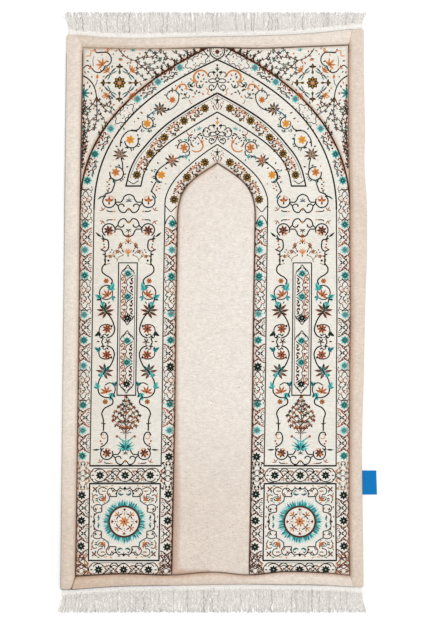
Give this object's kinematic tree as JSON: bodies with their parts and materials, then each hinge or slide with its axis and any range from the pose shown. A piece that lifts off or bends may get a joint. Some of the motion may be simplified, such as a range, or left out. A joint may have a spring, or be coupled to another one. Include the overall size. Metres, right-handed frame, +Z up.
{
  "type": "prayer rug",
  "caption": "Padded fringed prayer rug with a printed arch field, a plain niche and a puffed velvet border, lying flat.",
  "frame": {"origin": "middle of the flat underside, between the rug's sides and ends", "axes": "+X across the rug to the right of the picture, +Y along it towards the arch end, +Z up out of the pile"},
  "size_m": [0.6867, 1.3035, 0.0129],
  "materials": {
    "printed_velvet": "short velvet pile printed with a floral arch pattern over foam",
    "plain_velvet": "plain beige short velvet pile over foam",
    "fringe_yarn": "loose off-white yarn in a woven header",
    "label_ribbon": "smooth woven ribbon, folded double, bare"
  },
  "bodies": {
    "root": {"field_panel": "printed_velvet", "niche_panel": "plain_velvet", "border_left": "plain_velvet", "border_right": "plain_velvet", "border_top": "plain_velvet", "border_bottom": "plain_velvet", "fringe_top": "fringe_yarn", "fringe_bottom": "fringe_yarn", "side_label": "label_ribbon"}
  },
  "joints": []
}
